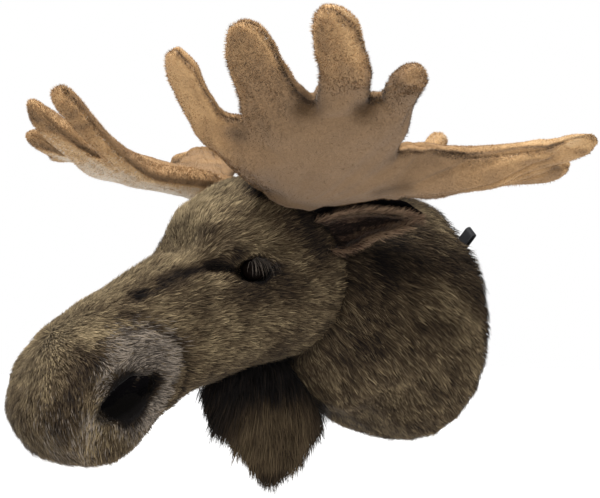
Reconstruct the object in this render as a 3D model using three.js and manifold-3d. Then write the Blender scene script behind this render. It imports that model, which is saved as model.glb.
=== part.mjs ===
// A stuffed moose head to hang on a wall, in millimetres.
// +Z is up, the wall is the plane y = 0, the moose looks along -Y and its left side is at +X.
// The origin is the middle of the backing board's rear face.
// Furry pieces are as large as the tips of their pile.
import * as THREE from "three";
import { TessellateModifier } from "three/addons/modifiers/TessellateModifier.js";
import { mergeVertices } from "three/addons/utils/BufferGeometryUtils.js";
import Module from "manifold-3d";

const wasm = await Module();
wasm.setup();

// Driving dimensions.
const SEAM_GAP = 0.4; // between pieces that are sewn or pressed together
const BOARD = { halfWidth: 136, halfHeight: 135, thick: 12, edgeRound: 2 };
const BELL_TIP = 198;
const EYE = { radius: 15, at: [75, -313, 61], socket: [11, 27, 12], socketAt: [82, -325, 60], roll: 0.1 };
const NOSTRIL = { at: [72, -476, -79], deep: 27, long: 43, wide: 18, lining: 2.4, roll: 0.6 };
const EAR = { root: [84, -238, 102], tip: [148, -104, 120], wall: 6, back: 2.2, backLip: 5 };
const STRAP = { width: 14, thick: 2, gap: 5.6, inner: 104, outer: 168, turn: 47, off: 1.2 };
const SIDES = [
  { side: "left", sign: 1 },
  { side: "right", sign: -1 },
];

const v3 = (x, y, z) => new THREE.Vector3(x, y, z);

// A closed mesh as a solid, with its shared vertices merged.
function solidOf(geometry) {
  const bare = geometry.clone();
  bare.deleteAttribute("normal");
  bare.deleteAttribute("uv");
  const merged = mergeVertices(bare, 1e-4);
  const solid = new wasm.Manifold(
    new wasm.Mesh({
      numProp: 3,
      vertProperties: merged.attributes.position.array,
      triVerts: new Uint32Array(merged.index.array),
    }),
  );
  return solid;
}

function geometryOf(solid) {
  const mesh = solid.getMesh();
  const geometry = new THREE.BufferGeometry();
  geometry.setAttribute("position", new THREE.BufferAttribute(new Float32Array(mesh.vertProperties), 3));
  geometry.setIndex(new THREE.BufferAttribute(new Uint32Array(mesh.triVerts), 1));
  geometry.computeVertexNormals();
  return geometry;
}

// A closed skin over rings of points, with one point at each end.
function skinOver(rings, first, last) {
  const sides = rings[0].length;
  const points = [first, ...rings.flat(), last];
  const faces = [];
  const at = (ring, k) => 1 + ring * sides + (k % sides);
  const end = points.length - 1;
  for (let k = 0; k < sides; k++) {
    faces.push(0, at(0, k + 1), at(0, k));
    for (let ring = 0; ring < rings.length - 1; ring++) {
      faces.push(at(ring, k), at(ring, k + 1), at(ring + 1, k + 1));
      faces.push(at(ring, k), at(ring + 1, k + 1), at(ring + 1, k));
    }
    faces.push(end, at(rings.length - 1, k), at(rings.length - 1, k + 1));
  }
  const geometry = new THREE.BufferGeometry().setFromPoints(points);
  geometry.setIndex(faces);
  return geometry;
}

// The columns of a list of stations, joined smoothly along its first column.
function smoothStations(stations) {
  const size = stations[0].length - 1;
  const along = stations.map((row) => row[0]);
  const values = stations.flatMap((row) => row.slice(1));
  const joined = new THREE.CubicInterpolant(along, values, size);
  return (place) => Array.from(joined.evaluate(place));
}

const signedPower = (value, power) => Math.sign(value) * Math.abs(value) ** power;

// One ring of a furry body: widest at height middle, up to top and down to bottom.
function bodyRing(sides, halfWidth, top, middle, bottom, fullness, place) {
  const ring = [];
  for (let k = 0; k < sides; k++) {
    const turn = (2 * Math.PI * k) / sides;
    const across = halfWidth * signedPower(Math.cos(turn), fullness);
    const reach = Math.sin(turn) > 0 ? top - middle : middle - bottom;
    ring.push(place(across, middle + reach * signedPower(Math.sin(turn), fullness)));
  }
  return ring;
}

// The head, from inside the neck to the end of the muzzle, along an axis that slopes down.
// Each station: distance along the axis, half width, top, height of the widest place, bottom, fullness.
const HEAD_AXIS = { y: -205, z: 60, slope: THREE.MathUtils.degToRad(24) };
const HEAD_STATIONS = [
  [-58, 22, 42, 5, -30, 1.0],
  [-48, 52, 82, 5, -62, 1.0],
  [-25, 82, 116, 4, -84, 0.98],
  [5, 98, 134, 4, -93, 0.95],
  [40, 100, 140, 4, -90, 0.95],
  [75, 96, 137, 4, -82, 0.96],
  [110, 88, 128, 6, -75, 0.98],
  [145, 77, 110, 8, -70, 0.98],
  [180, 66, 94, 8, -67, 0.96],
  [215, 61, 89, 6, -67, 0.93],
  [250, 63, 85, 2, -71, 0.9],
  [285, 70, 79, -4, -79, 0.88],
  [320, 76, 70, -8, -83, 0.87],
  [350, 75, 56, -9, -77, 0.88],
  [372, 65, 40, -9, -62, 0.9],
  [388, 47, 22, -9, -42, 0.95],
  [396, 26, 7, -9, -25, 1.0],
];
const HEAD_ENDS = { back: -62, front: 399, frontHeight: -9, backHeight: 5 };
const HEAD_RINGS = 20;
const HEAD_SIDES = 22;

function onHeadAxis(along, across, height) {
  const { y, z, slope } = HEAD_AXIS;
  return v3(
    across,
    y - along * Math.cos(slope) - height * Math.sin(slope),
    z - along * Math.sin(slope) + height * Math.cos(slope),
  );
}

// The same solid grown by a few tenths of a millimetre makes room for its neighbours.
function headSolid(grow) {
  const shape = smoothStations(HEAD_STATIONS);
  const from = HEAD_STATIONS[0][0];
  const to = HEAD_STATIONS.at(-1)[0];
  const rings = [];
  for (let i = 0; i < HEAD_RINGS; i++) {
    const eased = 0.5 - 0.5 * Math.cos((Math.PI * i) / (HEAD_RINGS - 1));
    const along = from + (to - from) * (0.55 * eased + (0.45 * i) / (HEAD_RINGS - 1));
    const [halfWidth, top, middle, bottom, fullness] = shape(along);
    const place = (across, height) => onHeadAxis(along, across, height);
    rings.push(bodyRing(HEAD_SIDES, halfWidth + grow, top + grow, middle, bottom - grow, fullness, place));
  }
  const back = onHeadAxis(HEAD_ENDS.back - grow, 0, HEAD_ENDS.backHeight);
  const front = onHeadAxis(HEAD_ENDS.front + grow, 0, HEAD_ENDS.frontHeight);
  return solidOf(skinOver(rings, back, front));
}

// The neck, from the rim round the board to inside the head.
// Each station: distance from the wall, half width, top, height of the widest place, bottom, fullness.
const NECK_STATIONS = [
  [2, 148, 155, 2, -144, 0.96],
  [9, 154, 161, 2, -149, 0.96],
  [25, 156, 163, 1, -150, 0.96],
  [60, 152, 160, -1, -147, 0.96],
  [105, 137, 153, 0, -137, 0.98],
  [150, 114, 144, 10, -114, 0.98],
  [185, 98, 138, 20, -84, 0.98],
  [212, 84, 126, 28, -54, 0.98],
];
const NECK_RINGS = 9;
const NECK_SIDES = 22;

function neckSolid(grow) {
  const shape = smoothStations(NECK_STATIONS);
  const from = NECK_STATIONS[0][0];
  const to = NECK_STATIONS.at(-1)[0];
  const rings = [];
  for (let i = 0; i < NECK_RINGS; i++) {
    const out = from + (to - from) * (i / (NECK_RINGS - 1)) ** 1.5;
    const [halfWidth, top, middle, bottom, fullness] = shape(out);
    const place = (across, height) => v3(across, -out, height);
    rings.push(bodyRing(NECK_SIDES, halfWidth + grow, top + grow, middle, bottom - grow, fullness, place));
  }
  return solidOf(skinOver(rings, v3(0, -from, 0), v3(0, -to, 30)));
}

// The bell, the flap of long hair under the throat.
// Each station: depth below the origin, half length, half thickness, distance of its middle from the wall.
const BELL_STATIONS = [
  [34, 56, 20, 246],
  [60, 82, 27, 240],
  [90, 93, 31, 236],
  [115, 84, 29, 230],
  [140, 66, 25, 225],
  [165, 45, 18, 225],
  [186, 22, 10, 230],
];
const BELL_RINGS = 8;
const BELL_SIDES = 16;

function bellSolid() {
  const shape = smoothStations(BELL_STATIONS);
  const from = BELL_STATIONS[0][0];
  const to = BELL_STATIONS.at(-1)[0];
  const rings = [];
  for (let i = 0; i < BELL_RINGS; i++) {
    const down = from + ((to - from) * i) / (BELL_RINGS - 1);
    const [halfLength, halfThick, out] = shape(down);
    const ring = [];
    for (let k = 0; k < BELL_SIDES; k++) {
      const turn = (2 * Math.PI * k) / BELL_SIDES;
      ring.push(v3(halfThick * Math.sin(turn), halfLength * Math.cos(turn) - out, -down));
    }
    rings.push(ring);
  }
  return solidOf(skinOver(rings, v3(0, -BELL_STATIONS[0][3], -from), v3(0, -234, -BELL_TIP)));
}

// An antler is one flat stuffed piece, two panels of one outline bent up into a bowl.
// The outline of the left antler from above, from its root past the front tine to the rear one.
const ANTLER_OUTLINE = [
  [44, -292], [64, -324], [82, -368], [91, -406], [97, -434], [105, -457], [122, -467], [139, -460],
  [145, -441], [139, -419], [136, -402], [142, -392], [152, -392], [162, -403], [173, -424],
  [186, -442], [204, -452], [224, -449], [240, -437], [242, -417], [231, -390], [220, -369],
  [223, -359], [236, -360], [260, -380], [279, -403], [299, -416], [323, -417], [335, -403],
  [320, -376], [290, -340], [268, -313], [265, -302], [276, -303], [300, -317], [329, -333],
  [350, -331], [347, -311], [317, -286], [267, -251], [223, -226], [208, -212], [214, -199],
  [232, -182], [262, -138], [303, -97], [345, -80], [362, -66], [357, -50], [334, -42],
  [311, -46], [298, -44], [300, -32], [288, -20], [268, -22], [246, -42], [226, -76],
  [206, -100], [171, -127], [138, -171], [100, -192], [70, -206], [51, -230], [43, -262],
];
const ANTLER = { thick: 25, bevel: 10, steps: 2, outlineSteps: 84, longestEdge: 56 };
// The bowl's height over a place, from the distances beside and in front of the root in decimetres.
const BOWL_ROOT = [62, -262];
const BOWL = {
  height: 160,
  side: -11,
  front: 19.5,
  side2: 38,
  cross: -4,
  front2: -4,
  front3: 12,
  side3: -9,
  corner: 1.3,
};
// The right antler is turned a little and twisted: its front sags and its rear stands up higher.
// It is stuffed less, its palm is arched up and its third tine is drawn in.
const POSED = {
  left: {
    turn: 0,
    reach: 1,
    frontTwist: 0,
    rearTwist: 0,
    rearLift: 0,
    arch: 0,
    drawnIn: 0,
    swell: 11,
  },
  right: {
    turn: -9,
    reach: 0.98,
    frontTwist: -10,
    rearTwist: -12,
    rearLift: 55,
    arch: 10,
    drawnIn: 32,
    swell: 5,
  },
};
const ARCH = { front: 0.35, wide: 0.45 };
const THIRD_TINE = { tip: [323, -417], wide: 75 };
// A short tine stands up behind the palm: its centreline over the bowl, half widths and half thicknesses.
const BACK_TINE = {
  line: [[150, -178, -10], [152, -140, 23], [150, -110, 76]],
  wide: [26, 20, 13],
  thick: [10, 10, 9],
};
// The root is rolled into a knob where it is sewn to the head.
const KNOB = { at: [64, -244, 149], sizes: [34, 50, 22] };
const TINE_SIDES = 10;
const TINE_RINGS = 4;

function bowlHeight(x, y, { frontTwist, rearTwist, rearLift, arch }) {
  const side = (x - BOWL_ROOT[0]) / 100;
  const front = (BOWL_ROOT[1] - y) / 100;
  const ahead = Math.max(front, 0);
  const curl = BOWL.front3 * ahead ** 3 + BOWL.side3 * side ** 3 + BOWL.corner * side * side * ahead;
  const bend = BOWL.side2 * side * side + BOWL.cross * side * front + BOWL.front2 * front * front;
  const outer = Math.max(side - 0.5, 0);
  const turned = front > 0 ? frontTwist * outer * front : -front * (rearLift + rearTwist * outer);
  const arched = arch * Math.exp(-(((front - ARCH.front) / ARCH.wide) ** 2));
  return BOWL.height + BOWL.side * side + BOWL.front * front + bend + curl + turned + arched;
}

function bowlNormal(x, y, pose) {
  const across = bowlHeight(x + 1, y, pose) - bowlHeight(x - 1, y, pose);
  const along = bowlHeight(x, y + 1, pose) - bowlHeight(x, y - 1, pose);
  return v3(-across / 2, -along / 2, 1).normalize();
}

// A short flat tine with a rounded tip, open into the palm at its root.
function tineSolid({ line, wide, thick }, pose) {
  const places = line.map(([x, y, over]) => v3(x, y, bowlHeight(x, y, pose) + over));
  const centre = new THREE.CatmullRomCurve3(places);
  const sizes = new THREE.CatmullRomCurve3(line.map((_, i) => v3(wide[i], thick[i], 0)));
  const rings = [];
  const addRing = (t, shrink, ahead) => {
    const middle = centre.getPoint(t);
    const way = centre.getTangent(t);
    const size = sizes.getPoint(t).multiplyScalar(shrink);
    const across = v3(1, 0, 0).addScaledVector(way, -way.x).normalize();
    const normal = new THREE.Vector3().crossVectors(across, way);
    middle.addScaledVector(way, ahead);
    const ring = [];
    for (let k = 0; k < TINE_SIDES; k++) {
      const turn = (-2 * Math.PI * k) / TINE_SIDES;
      const point = middle.clone().addScaledVector(across, size.x * Math.cos(turn));
      ring.push(point.addScaledVector(normal, size.y * Math.sin(turn)));
    }
    rings.push(ring);
    return middle;
  };
  const start = centre.getPoint(0);
  for (let i = 0; i <= TINE_RINGS; i++) addRing(i / TINE_RINGS, 1, 0);
  addRing(1, 0.75, 7);
  const tip = addRing(1, 0.35, 10).clone();
  return solidOf(skinOver(rings, start, tip.addScaledVector(centre.getTangent(1), 1)));
}

function antlerSolid(pose) {
  const outline = new THREE.SplineCurve(
    [...ANTLER_OUTLINE, ANTLER_OUTLINE[0]].map(([x, y]) => new THREE.Vector2(x, y)),
  );
  const border = outline.getSpacedPoints(ANTLER.outlineSteps);
  const flat = new THREE.ExtrudeGeometry(new THREE.Shape(border), {
    depth: ANTLER.thick - 2 * ANTLER.bevel,
    bevelThickness: ANTLER.bevel,
    bevelSize: ANTLER.bevel,
    bevelOffset: -ANTLER.bevel,
    bevelSegments: ANTLER.steps,
  });
  const panels = new TessellateModifier(ANTLER.longestEdge, 12).modify(flat);
  const place = panels.attributes.position;
  const thirdTip = new THREE.Vector2(...THIRD_TINE.tip);
  const inwards = new THREE.Vector2(...BOWL_ROOT).sub(thirdTip).normalize();
  for (let i = 0; i < place.count; i++) {
    const point = new THREE.Vector2(place.getX(i), place.getY(i));
    const inside = Math.min(...border.map((edge) => edge.distanceTo(point)));
    const through = place.getZ(i) - ANTLER.thick / 2 + ANTLER.bevel;
    const full = 1 - Math.exp(-Math.max(inside - ANTLER.bevel, 0) / 30);
    const out = through + Math.sign(through) * pose.swell * full;
    const near = Math.exp(-((point.distanceTo(thirdTip) / THIRD_TINE.wide) ** 2));
    point.addScaledVector(inwards, pose.drawnIn * near);
    const at = v3(point.x, point.y, bowlHeight(point.x, point.y, pose));
    at.addScaledVector(bowlNormal(point.x, point.y, pose), out);
    place.setXYZ(i, at.x, at.y, at.z);
  }
  const root = v3(...BOWL_ROOT, 0);
  const knob = facingBall(KNOB.at, KNOB.sizes, v3(0, 0, 1), 0);
  const antler = solidOf(panels).add(tineSolid(BACK_TINE, pose)).add(knob);
  const turned = antler.translate([-root.x, -root.y, 0]).rotate([0, 0, pose.turn]);
  return turned.scale([pose.reach, pose.reach, 1]).translate([root.x, root.y, 0]);
}

// An ear is a scoop that opens forwards, with a smooth panel over its back.
// Each station: place along the ear, half height, depth of the scoop.
const EAR_STATIONS = [
  [0, 10, 9],
  [0.12, 15, 14],
  [0.3, 21, 18],
  [0.5, 20, 19],
  [0.7, 15, 15],
  [0.88, 8, 10],
  [1, 2, 4],
];
const EAR_RINGS = 9;
const EAR_STEPS = 8;
const EAR_OPEN = THREE.MathUtils.degToRad(98);

// One layer of the ear between two distances outside the scoop's inner face, with a lip at its top.
function earLayer(near, far, lip) {
  const root = v3(...EAR.root);
  const tip = v3(...EAR.tip);
  const way = tip.clone().sub(root).normalize();
  const open = new THREE.Vector3().crossVectors(way, v3(0, 0, 1)).normalize();
  const up = new THREE.Vector3().crossVectors(open, way);
  const shape = smoothStations(EAR_STATIONS);
  const rings = [];
  const point = (middle, halfHeight, deep, turn, out) => {
    const rise = (halfHeight + out) * Math.sin(turn) + lip * Math.max(0, Math.sin(turn)) ** 8;
    return middle.clone().addScaledVector(up, rise).addScaledVector(open, -(deep + out) * Math.cos(turn));
  };
  for (let i = 0; i < EAR_RINGS; i++) {
    const t = i / (EAR_RINGS - 1);
    const [halfHeight, deep] = shape(t);
    const middle = root.clone().lerp(tip, t);
    const turns = Array.from({ length: EAR_STEPS }, (_, k) => EAR_OPEN * ((2 * k) / (EAR_STEPS - 1) - 1));
    const outer = turns.map((turn) => point(middle, halfHeight, deep, turn, far));
    const inner = turns.map((turn) => point(middle, halfHeight, deep, turn, near));
    rings.push([...outer, ...inner.reverse()]);
  }
  const middleOf = (ring) => ring[EAR_STEPS / 2].clone().lerp(ring[EAR_STEPS * 1.5 - 1], 0.5);
  return solidOf(skinOver(rings, middleOf(rings[0]), middleOf(rings.at(-1))));
}

// A ball stretched along its own axes and turned from +Z to face a direction.
function facingBall(at, sizes, facing, roll) {
  const turn = new THREE.Quaternion().setFromUnitVectors(v3(0, 0, 1), facing.clone().normalize());
  turn.multiply(new THREE.Quaternion().setFromAxisAngle(v3(0, 0, 1), roll));
  const ball = new THREE.SphereGeometry(1, 12, 8);
  return solidOf(ball.applyMatrix4(new THREE.Matrix4().compose(v3(...at), turn, v3(...sizes))));
}

// The board, a disc with its rear face on the wall.
function boardSolid(grow) {
  const { halfWidth, halfHeight, thick, edgeRound } = BOARD;
  const radius = halfWidth + grow;
  const profile = [
    [0, 0],
    [radius - edgeRound, 0],
    [radius, edgeRound],
    [radius, thick - edgeRound + grow],
    [radius - edgeRound, thick + grow],
    [0, thick + grow],
  ];
  const disc = new THREE.LatheGeometry(profile.map(([r, y]) => new THREE.Vector2(r, y)), 32);
  return solidOf(disc.rotateX(Math.PI).scale(1, 1, (halfHeight + grow) / radius));
}

// A hanging strap, folded into a loop that stands out past the neck's rim.
function strapShape(grow, filled) {
  const { thick, gap, inner, outer, off } = STRAP;
  const reach = gap / 2 + thick + grow;
  const shape = new THREE.Shape();
  shape.moveTo(inner - grow, -reach);
  shape.lineTo(outer - reach, -reach);
  shape.absarc(outer - reach + grow, 0, reach, -Math.PI / 2, Math.PI / 2, false);
  shape.lineTo(inner - grow, reach);
  if (!filled) {
    shape.lineTo(inner, reach - thick);
    shape.absarc(outer - reach, 0, gap / 2, Math.PI / 2, -Math.PI / 2, true);
    shape.lineTo(inner, thick - reach);
  }
  return { shape, lift: off + reach - grow };
}

function strapSolid(sign, grow = 0, filled = false) {
  const { shape, lift } = strapShape(grow, filled);
  const width = STRAP.width + 2 * grow;
  const flat = new THREE.ExtrudeGeometry(shape, { depth: width, bevelEnabled: false, curveSegments: 5 });
  flat.translate(0, 0, -width / 2);
  const turn = THREE.MathUtils.degToRad(STRAP.turn);
  const rho = v3(sign * Math.sin(turn), 0, Math.cos(turn));
  const out = v3(0, -1, 0);
  const basis = new THREE.Matrix4().makeBasis(rho, out, new THREE.Vector3().crossVectors(rho, out));
  flat.applyMatrix4(basis);
  flat.translate(0, -lift, 0);
  return solidOf(flat);
}

const part = new THREE.Group();
const materials = {};
function addPiece(name, solid, color, roughness = 0.95) {
  materials[color] ??= new THREE.MeshStandardMaterial({ color, roughness, metalness: 0 });
  const mesh = new THREE.Mesh(geometryOf(solid), materials[color]);
  mesh.name = name;
  part.add(mesh);
}
const mirrored = (solid) => solid.mirror([1, 0, 0]);

const headRoom = headSolid(SEAM_GAP);
const neckRoom = neckSolid(SEAM_GAP);
let head = headSolid(0);
let neck = neckSolid(0).subtract(headRoom).subtract(boardSolid(SEAM_GAP));
let board = boardSolid(0);

const earFront = earLayer(0, EAR.wall, 0).subtract(headRoom).subtract(neckRoom);
const backFrom = EAR.wall + SEAM_GAP;
const earBack = earLayer(backFrom, backFrom + EAR.back, EAR.backLip).subtract(headRoom).subtract(neckRoom);

const eyeFacing = v3(0.92, -0.38, 0.06);
const eyeLeft = facingBall(EYE.at, [EYE.radius, EYE.radius, EYE.radius], eyeFacing, 0);
const eyeRoom = facingBall(EYE.at, Array(3).fill(EYE.radius + SEAM_GAP), eyeFacing, 0);
const socket = facingBall(EYE.socketAt, EYE.socket, eyeFacing, EYE.roll);
const nostrilFacing = v3(0.97, 0.05, 0.02);
const nostrilSizes = (shrink) => [NOSTRIL.wide - shrink, NOSTRIL.long - shrink, NOSTRIL.deep - shrink];
const nostrilRoom = facingBall(NOSTRIL.at, nostrilSizes(0), nostrilFacing, NOSTRIL.roll);
const liningOuter = facingBall(NOSTRIL.at, nostrilSizes(SEAM_GAP), nostrilFacing, NOSTRIL.roll);
const liningSizes = nostrilSizes(NOSTRIL.lining + SEAM_GAP);
const liningInner = facingBall(NOSTRIL.at, liningSizes, nostrilFacing, NOSTRIL.roll);
const skinInside = headSolid(-4);
const lining = liningOuter.subtract(liningInner).intersect(skinInside);

for (const room of [eyeRoom, socket, nostrilRoom]) {
  head = head.subtract(room).subtract(mirrored(room));
}
const strapRoom = strapSolid(1, SEAM_GAP, true);
board = board.subtract(strapRoom).subtract(mirrored(strapRoom));
neck = neck.subtract(strapRoom).subtract(mirrored(strapRoom));

addPiece("back_board", board, 0xb8966a, 0.7);
addPiece("neck", neck, 0x453b30);
addPiece("head", head, 0x5c4f3f);
addPiece("bell", bellSolid().subtract(headRoom).subtract(neckRoom), 0x3c332a);
for (const { side, sign } of SIDES) {
  const facing = (solid) => (sign > 0 ? solid : mirrored(solid));
  const antler = antlerSolid(POSED[side]).subtract(headRoom).subtract(neckRoom);
  const antlerRoom = antler.add(antler.translate([0, 0, -SEAM_GAP]));
  addPiece("antler_" + side, facing(antler), 0x9c7f60);
  addPiece("ear_" + side, facing(earFront.subtract(antlerRoom)), 0x8a6f5a);
  addPiece("ear_back_" + side, facing(earBack.subtract(antlerRoom)), 0x141416, 0.6);
  addPiece("eye_" + side, facing(eyeLeft), 0x0b0a0a, 0.1);
  addPiece("nostril_lining_" + side, facing(lining), 0x101012);
  addPiece("hanging_strap_" + side, strapSolid(sign), 0x111111);
}

export default part;
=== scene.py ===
import itertools
import math

import bmesh
import bpy
import numpy as np
from mathutils import Matrix, Vector
from mathutils.bvhtree import BVHTree


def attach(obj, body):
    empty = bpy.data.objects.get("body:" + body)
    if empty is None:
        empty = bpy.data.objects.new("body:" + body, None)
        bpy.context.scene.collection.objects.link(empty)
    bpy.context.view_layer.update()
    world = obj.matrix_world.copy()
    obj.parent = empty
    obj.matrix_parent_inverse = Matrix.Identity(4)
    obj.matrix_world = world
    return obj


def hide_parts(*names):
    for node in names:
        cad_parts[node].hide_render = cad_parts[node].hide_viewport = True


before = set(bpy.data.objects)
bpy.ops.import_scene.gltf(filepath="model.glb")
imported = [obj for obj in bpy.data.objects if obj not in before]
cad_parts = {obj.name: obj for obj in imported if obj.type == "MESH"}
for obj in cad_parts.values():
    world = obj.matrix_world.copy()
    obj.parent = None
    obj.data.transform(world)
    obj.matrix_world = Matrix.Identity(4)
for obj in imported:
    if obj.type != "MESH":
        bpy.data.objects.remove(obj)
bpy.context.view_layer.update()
scene = bpy.context.scene

# ---------------------------------------------------------------------------
# The studio: a pale floor well below the head, white all round, and two soft
# lamps, the stronger one above and in front of the muzzle.
scene.view_settings.view_transform = "Standard"

FLOOR_HEIGHT = -0.62
SEEN_BRIGHT, FLOOR_LIGHT, WORLD_LIGHT = 1.0, 0.3, 0.4


def glow_by_ray(tree, light, strength):
    """Sets a strength to full where the camera looks, and to light for what falls on the head."""
    path = tree.nodes.new("ShaderNodeLightPath")
    level = tree.nodes.new("ShaderNodeMapRange")
    level.inputs["To Min"].default_value = light
    level.inputs["To Max"].default_value = SEEN_BRIGHT
    tree.links.new(path.outputs["Is Camera Ray"], level.inputs["Value"])
    tree.links.new(level.outputs["Result"], strength)


bpy.ops.object.select_all(action="DESELECT")
bpy.ops.mesh.primitive_plane_add(size=30, location=(0, 0, FLOOR_HEIGHT))
floor = bpy.context.object
floor.name = "studio_floor"
floor_paint = bpy.data.materials.new("floor_paint")
floor_paint.use_nodes = True
floor_shader = floor_paint.node_tree.nodes["Principled BSDF"]
floor_shader.inputs["Base Color"].default_value = (0.93, 0.93, 0.93, 1)
floor_shader.inputs["Roughness"].default_value = 0.9
floor_shader.inputs["Emission Color"].default_value = (1, 1, 1, 1)
glow_by_ray(floor_paint.node_tree, FLOOR_LIGHT, floor_shader.inputs["Emission Strength"])
floor.data.materials.append(floor_paint)

surroundings = bpy.data.worlds.new("studio_white")
surroundings.use_nodes = True
background = surroundings.node_tree.nodes["Background"]
background.inputs["Color"].default_value = (1, 1, 1, 1)
glow_by_ray(surroundings.node_tree, WORLD_LIGHT, background.inputs["Strength"])
scene.world = surroundings

TARGET = Vector((0, -0.18407, 0.09404))


def hang_lamp(name, place, size, power):
    lamp = bpy.data.lights.new(name, "AREA")
    lamp.shape = "SQUARE"
    lamp.size = size
    lamp.energy = power
    holder = bpy.data.objects.new(name, lamp)
    holder.location = place
    holder.rotation_euler = (TARGET - Vector(place)).to_track_quat("-Z", "Y").to_euler()
    scene.collection.objects.link(holder)


hang_lamp("key_lamp", (0.2, -1.25, 1.8), 1.1, 66)
hang_lamp("fill_lamp", (1.7, -0.8, 0.4), 1.5, 11)

camera_data = bpy.data.cameras.new("camera")
camera_data.sensor_fit = "HORIZONTAL"
camera_data.sensor_width = 36
camera_data.lens = 72
camera = bpy.data.objects.new("camera", camera_data)
camera.location = (1.14627, -1.14590, -0.01060)
camera.rotation_euler = (TARGET - camera.location).to_track_quat("-Z", "Y").to_euler()
scene.collection.objects.link(camera)
scene.camera = camera

# ---------------------------------------------------------------------------
# The back board: a round of bare plywood that closes the neck and lies on the
# wall. Sawn grain runs across it, and its edge is rounded over a little.
BOARD_GRAIN = [(0.0, (0.33, 0.21, 0.11)), (0.45, (0.52, 0.37, 0.21)), (1.0, (0.66, 0.5, 0.32))]


def new_material(name, roughness, specular=0.3):
    """A material whose tree starts with one Principled shader."""
    material = bpy.data.materials.new(name)
    material.use_nodes = True
    shader = material.node_tree.nodes["Principled BSDF"]
    shader.inputs["Roughness"].default_value = roughness
    shader.inputs["Specular IOR Level"].default_value = specular
    return material, material.node_tree, shader


def add_ramp(tree, value, stops, colour):
    """A colour ramp with (place, colour) stops, from a value to a colour socket."""
    ramp = tree.nodes.new("ShaderNodeValToRGB")
    elements = ramp.color_ramp.elements
    while len(elements) > 1:
        elements.remove(elements[-1])
    elements[0].position = stops[0][0]
    elements[0].color = (*stops[0][1], 1)
    for place, shade in stops[1:]:
        elements.new(place).color = (*shade, 1)
    tree.links.new(value, ramp.inputs["Fac"])
    tree.links.new(ramp.outputs["Color"], colour)


def add_noise(tree, scale, detail, stretch=(1, 1, 1)):
    """Noise over Object coordinates, stretched by a Mapping node."""
    place = tree.nodes.new("ShaderNodeTexCoord")
    mapping = tree.nodes.new("ShaderNodeMapping")
    mapping.inputs["Scale"].default_value = stretch
    noise = tree.nodes.new("ShaderNodeTexNoise")
    noise.inputs["Scale"].default_value = scale
    noise.inputs["Detail"].default_value = detail
    tree.links.new(place.outputs["Object"], mapping.inputs["Vector"])
    tree.links.new(mapping.outputs["Vector"], noise.inputs["Vector"])
    return noise.outputs["Fac"]


def add_bump(tree, shader, height, strength, distance):
    bump = tree.nodes.new("ShaderNodeBump")
    bump.inputs["Strength"].default_value = strength
    bump.inputs["Distance"].default_value = distance
    tree.links.new(height, bump.inputs["Height"])
    tree.links.new(bump.outputs["Normal"], shader.inputs["Normal"])


board_wood, tree, shader = new_material("board_wood", 0.75)
grain = add_noise(tree, 60, 6, (0.09, 1, 1.4))
add_ramp(tree, grain, BOARD_GRAIN, shader.inputs["Base Color"])
add_bump(tree, shader, grain, 0.4, 0.0006)
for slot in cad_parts["back_board"].material_slots:
    slot.material = board_wood

# ---------------------------------------------------------------------------
# The neck: dark brown long-pile cloth sewn into a tube, stuffed, and turned in
# over the rim of the board. The pile lies back and down from the cheeks.
NECK_PILE_LENGTH = 0.015
NECK_STRANDS = 62000
UNDER_THROAT = [(0, -0.14, -0.12), (0, -0.107, -0.13), (0.05, -0.112, -0.118), (0.085, -0.112, -0.092)]
BELOW_THROAT = [(0.034, -0.105, -0.131), (0.022, -0.075, -0.143)]
WALL_GAP = -0.0001
STUFFING_STEPS = 20
# Marks are paler (+) or darker (-) spots and streaks: the share, the radius, and the line in mm.
NECK_MARKS = [
    # The first two darker streaks are painted shade under the ear.
    (-0.13, 30, (100, -140, 85), (130, -70, 82), (150, -30, 70)),
    (-0.1, 25, (90, -185, 60), (100, -155, 70)),
    (0.2, 16, (75, -40, 140), (115, -45, 112)),
    (0.17, 18, (130, -85, 40), (155, -40, 0), (155, -35, -50)),
]
HIDE_SHADES = [
    (0.0, (0.005, 0.004, 0.004)),
    (0.12, (0.022, 0.015, 0.01)),
    (0.28, (0.062, 0.041, 0.023)),
    (0.42, (0.145, 0.102, 0.056)),
    (0.54, (0.26, 0.195, 0.112)),
    (0.64, (0.43, 0.325, 0.18)),
    (0.72, (0.56, 0.43, 0.25)),
    (0.75, (0.05, 0.04, 0.034)),
    (0.84, (0.17, 0.14, 0.112)),
    (0.93, (0.34, 0.285, 0.23)),
    (1.0, (0.58, 0.47, 0.36)),
]


def smooth_step(low, high, value):
    """0 below low, 1 above high, smooth between."""
    part = np.clip((value - low) / (high - low), 0, 1)
    return part * part * (3 - 2 * part)


def soft_noise(points, size, seed):
    """Smooth random values from 0 to 1 over space, with patches about as large as size."""
    cell = points / size
    base = np.floor(cell).astype(np.int64)
    part = cell - base
    part = part * part * (3 - 2 * part)
    total = np.zeros(len(points))
    for corner in itertools.product((0, 1), repeat=3):
        at = base + corner
        mixed = at[:, 0] * 73856093 ^ at[:, 1] * 19349663 ^ at[:, 2] * 83492791 ^ seed * 2654435
        mixed = (mixed ^ (mixed >> 13)) * 1274126177 & 0xFFFFFFFF
        value = ((mixed ^ (mixed >> 16)) & 0xFFFF) / 65535
        total += value * np.prod(np.where(corner, part, 1 - part), axis=1)
    return total


def near_to(points, middle, radius):
    """1 at a place, falling smoothly to 0 over about twice the radius."""
    away = np.linalg.norm(points - np.array(middle), axis=1)
    return np.exp(-((away / radius) ** 2))


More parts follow.
